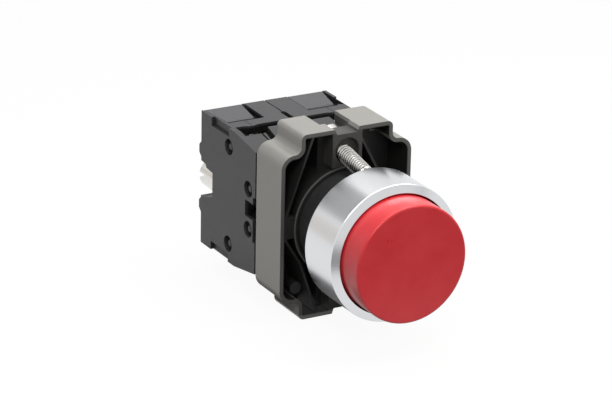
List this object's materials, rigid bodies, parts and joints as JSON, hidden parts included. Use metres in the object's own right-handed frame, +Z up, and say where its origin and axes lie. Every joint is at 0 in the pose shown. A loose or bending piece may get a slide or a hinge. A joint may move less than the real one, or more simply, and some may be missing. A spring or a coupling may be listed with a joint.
{
  "type": "panel pushbutton switch",
  "caption": "Panel pushbutton for a 22 mm hole: projecting cap, metal bezel, die-cast mounting collar and contact blocks behind it.",
  "frame": {"origin": "centre of the rear face of the panel gasket, on the axis of the barrel, in the plane of the panel's outer face", "axes": "-Y the way the button faces, +Y into the panel, +Z up, +X to the right seen from the front"},
  "size_m": [0.03, 0.0642, 0.04],
  "materials": {
    "red_cap": "satin",
    "bezel_metal": "satin turned",
    "black_plastic": "satin",
    "rubber": "matte",
    "collar_metal": "satin, painted inside and out",
    "case_plastic": "fine matte grain",
    "plate_plastic": "satin",
    "inner_plastic": "satin",
    "zinc_screw": "bright zinc",
    "spring_steel": "bright",
    "contact_brass": "satin"
  },
  "bodies": {
    "switch": {"head_body": "black_plastic", "bezel_ring": "bezel_metal", "panel_gasket": "rubber", "return_spring": "spring_steel", "mounting_collar": "collar_metal", "left_housing": "case_plastic", "left_cover": "case_plastic", "left_case_pins": "case_plastic", "left_marker_plates": "plate_plastic", "left_terminal_strips": "contact_brass", "left_plunger_spring": "spring_steel", "right_housing": "case_plastic", "right_cover": "case_plastic", "right_case_pins": "case_plastic", "right_marker_plates": "plate_plastic", "right_terminal_strips": "contact_brass", "right_plunger_spring": "spring_steel"},
    "button": {"button_cap": "red_cap", "pusher": "black_plastic", "pusher_seal": "rubber", "retaining_clip": "spring_steel"},
    "clamp_screw_top": {"clamp_screw_top": "zinc_screw"},
    "clamp_screw_bottom": {"clamp_screw_bottom": "zinc_screw"},
    "left_plunger": {"left_plunger": "inner_plastic", "left_contact_bridge": "contact_brass", "left_contact_spring": "spring_steel"},
    "left_fixing_screw": {"left_fixing_screw": "zinc_screw"},
    "left_upper_clamp": {"left_upper_terminal_screw": "zinc_screw", "left_upper_saddle": "zinc_screw"},
    "left_lower_clamp": {"left_lower_terminal_screw": "zinc_screw", "left_lower_saddle": "zinc_screw"},
    "right_plunger": {"right_plunger": "inner_plastic", "right_contact_bridge": "contact_brass", "right_contact_spring": "spring_steel"},
    "right_fixing_screw": {"right_fixing_screw": "zinc_screw"},
    "right_upper_clamp": {"right_upper_terminal_screw": "zinc_screw", "right_upper_saddle": "zinc_screw"},
    "right_lower_clamp": {"right_lower_terminal_screw": "zinc_screw", "right_lower_saddle": "zinc_screw"}
  },
  "joints": [
    {"name": "button_press", "type": "slide", "parent": "switch", "child": "button", "axis": [0, 1, 0], "range_m": [0, 0.0045], "stiffness_N_per_m": 800, "springref_m": -0.003, "deforming": ["return_spring"]},
    {"name": "left_plunger_slide", "type": "slide", "parent": "switch", "child": "left_plunger", "axis": [0, 1, 0], "range_m": [0, 0.0045], "stiffness_N_per_m": 200, "springref_m": -0.003, "deforming": ["left_plunger_spring"]},
    {"name": "right_plunger_slide", "type": "slide", "parent": "switch", "child": "right_plunger", "axis": [0, 1, 0], "range_m": [0, 0.0045], "stiffness_N_per_m": 200, "springref_m": -0.003, "deforming": ["right_plunger_spring"]},
    {"name": "clamp_top_drive", "type": "slide", "parent": "switch", "child": "clamp_screw_top", "axis": [0, 0.9833, 0.1822], "range_m": [0, 0.0027]},
    {"name": "clamp_bottom_drive", "type": "slide", "parent": "switch", "child": "clamp_screw_bottom", "axis": [0, 0.9833, -0.1822], "range_m": [0, 0.0027]},
    {"name": "left_fixing_drive", "type": "slide", "parent": "switch", "child": "left_fixing_screw", "axis": [0, 1, 0], "range_m": [0, 0.0026]},
    {"name": "left_upper_clamp_drive", "type": "slide", "parent": "switch", "child": "left_upper_clamp", "axis": [0, -1, 0], "range_m": [0, 0.0039]},
    {"name": "left_lower_clamp_drive", "type": "slide", "parent": "switch", "child": "left_lower_clamp", "axis": [0, -1, 0], "range_m": [0, 0.0039]},
    {"name": "right_fixing_drive", "type": "slide", "parent": "switch", "child": "right_fixing_screw", "axis": [0, 1, 0], "range_m": [0, 0.0026]},
    {"name": "right_upper_clamp_drive", "type": "slide", "parent": "switch", "child": "right_upper_clamp", "axis": [0, -1, 0], "range_m": [0, 0.0039]},
    {"name": "right_lower_clamp_drive", "type": "slide", "parent": "switch", "child": "right_lower_clamp", "axis": [0, -1, 0], "range_m": [0, 0.0039]}
  ],
  "couplings": [
    {"joint": "left_plunger_slide", "follows": "button_press", "ratio": 1},
    {"joint": "right_plunger_slide", "follows": "button_press", "ratio": 1}
  ]
}
